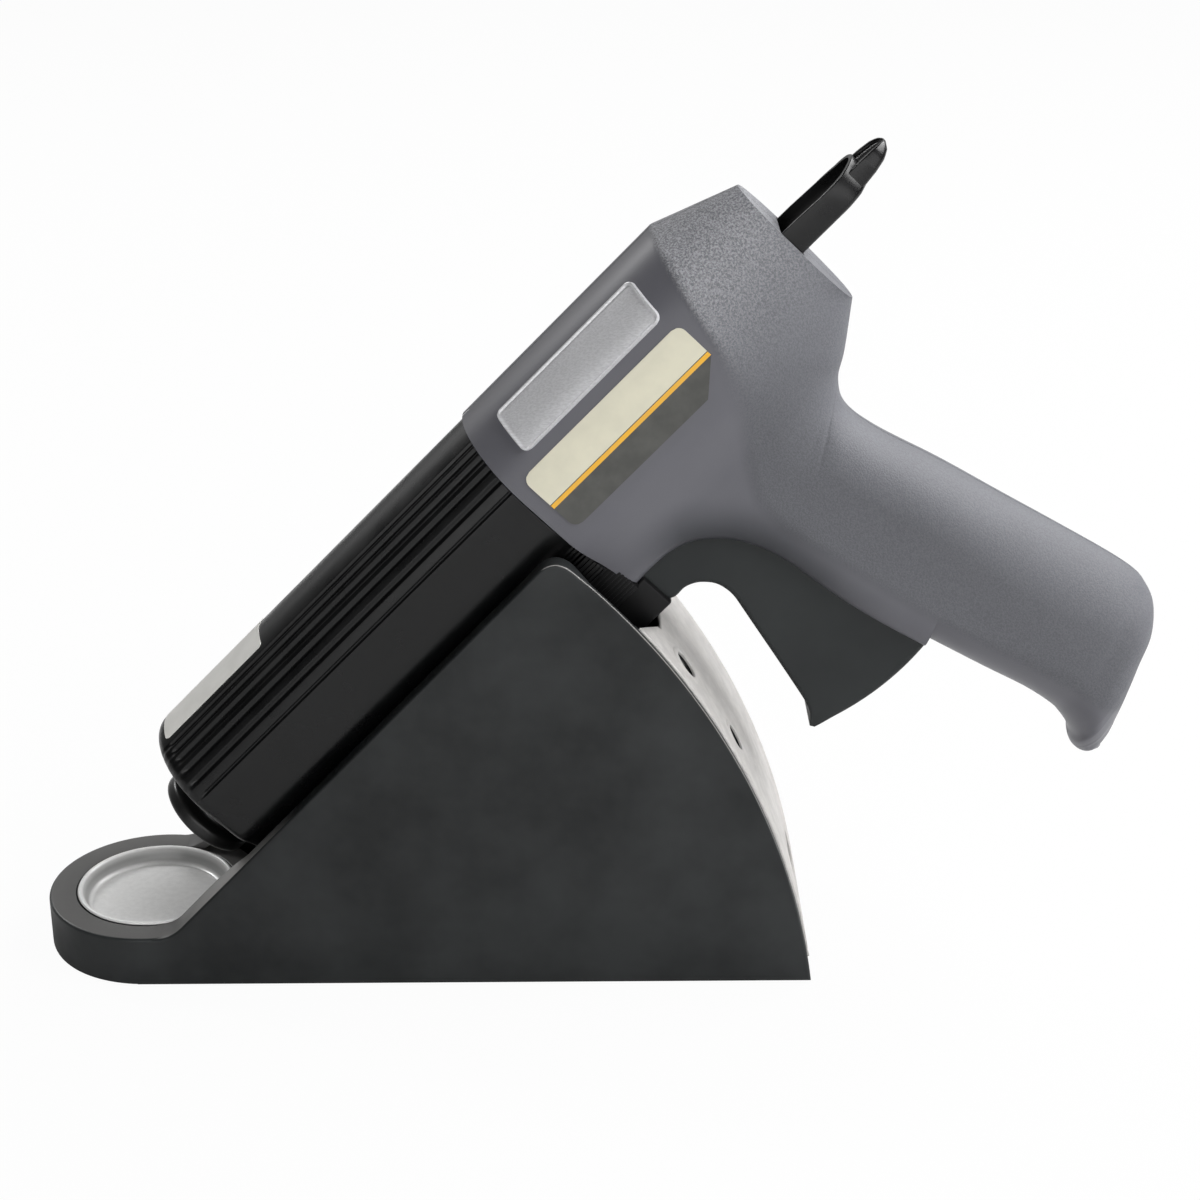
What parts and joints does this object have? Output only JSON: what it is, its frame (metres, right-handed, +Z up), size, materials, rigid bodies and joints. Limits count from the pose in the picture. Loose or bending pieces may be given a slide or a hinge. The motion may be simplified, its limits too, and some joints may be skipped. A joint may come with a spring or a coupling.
{
  "type": "glue gun with stand",
  "caption": "Pistol-shaped cartridge glue gun with trigger, feed rod and ribbed barrel, lying nose down in a wedge-shaped heating stand with a round drip tray.",
  "frame": {"origin": "centre of the stand's flat underside", "axes": "+X from the drip tray to the grip, +Z up, +Y away from the side with the label"},
  "size_m": [0.3454, 0.068, 0.2588],
  "materials": {
    "black_moulding": "satin black moulding",
    "black_gloss": "glossy black moulding",
    "grey_housing": "grey moulding, satin in front and finely textured behind",
    "trigger_moulding": "fine matt dark moulding",
    "sheet_steel": "pale stainless sheet",
    "plated_steel": "plated steel",
    "aluminium_part": "plain aluminium",
    "brass_part": "plain brass",
    "rubber_part": "black rubber",
    "circuit_board": "green board",
    "fibre": "mineral fibre sleeve",
    "glue": "set glue",
    "printed_label": "printed film, cream, dark and yellow",
    "white_label": "white film",
    "badge_metal": "brushed badge"
  },
  "bodies": {
    "stand": {"stand_shell": "black_moulding", "base_plate": "black_moulding", "rear_cover": "sheet_steel", "power_inlet": "black_gloss", "control_board": "circuit_board", "transformer": "plated_steel", "cradle_trough": "black_gloss", "contact_socket": "black_gloss", "socket_contact_1": "brass_part", "socket_contact_2": "brass_part", "base_screw_1": "plated_steel", "rubber_foot_1": "rubber_part", "base_screw_2": "plated_steel", "rubber_foot_2": "rubber_part", "base_screw_3": "plated_steel", "rubber_foot_3": "rubber_part", "base_screw_4": "plated_steel", "rubber_foot_4": "rubber_part", "rear_cover_screw_1": "black_gloss", "rear_cover_screw_2": "black_gloss"},
    "gun": {"housing_left": "grey_housing", "housing_right": "grey_housing", "barrel_sleeve": "black_moulding", "contact_block": "black_gloss", "contact_pin_1": "brass_part", "contact_pin_2": "brass_part", "nozzle": "brass_part", "nozzle_boot": "rubber_part", "heating_chamber": "aluminium_part", "heating_mat": "brass_part", "insulation_sleeve": "fibre", "chamber_support_ring": "fibre", "glue_cartridge": "aluminium_part", "glue_charge": "glue", "heat_shield": "plated_steel", "brake_plate": "plated_steel", "rear_guide": "black_gloss", "gun_control_board": "circuit_board", "trigger_pin": "plated_steel", "badge_plate": "badge_metal", "side_label": "printed_label", "rating_label": "white_label", "clamp_spring": "plated_steel", "housing_screw_1": "plated_steel", "housing_screw_2": "plated_steel", "housing_screw_3": "plated_steel", "housing_screw_4": "plated_steel", "housing_screw_5": "plated_steel"},
    "tray": {"drip_tray": "aluminium_part"},
    "trigger": {"trigger": "trigger_moulding"},
    "feed_clamp": {"feed_clamp": "plated_steel", "clamp_plate": "plated_steel"},
    "feed_rod": {"feed_rod": "black_gloss", "pusher": "plated_steel"}
  },
  "joints": [
    {"name": "gun_lift", "type": "slide", "parent": "stand", "child": "gun", "axis": [0.6947, 0, 0.7193], "range_m": [0, 0.16]},
    {"name": "tray_lift", "type": "slide", "parent": "stand", "child": "tray", "axis": [0, 0, 1], "range_m": [0, 0.012]},
    {"name": "trigger_pull", "type": "hinge", "parent": "gun", "child": "trigger", "pos_m": [0.08501, 0, 0.1557], "axis": [0, -1, 0], "range_deg": [0, 16], "stiffness_Nm_per_rad": 0.6, "springref_deg": -17.19},
    {"name": "clamp_slide", "type": "slide", "parent": "gun", "child": "feed_clamp", "axis": [-0.6947, 0, -0.7193], "range_m": [0, 0.0056], "deforming": ["clamp_spring"]},
    {"name": "rod_slide", "type": "slide", "parent": "gun", "child": "feed_rod", "axis": [0.6947, 0, 0.7193], "range_m": [-0.029, 0.09]}
  ],
  "couplings": [
    {"joint": "clamp_slide", "follows": "trigger_pull", "m_per_rad": 0.02}
  ]
}
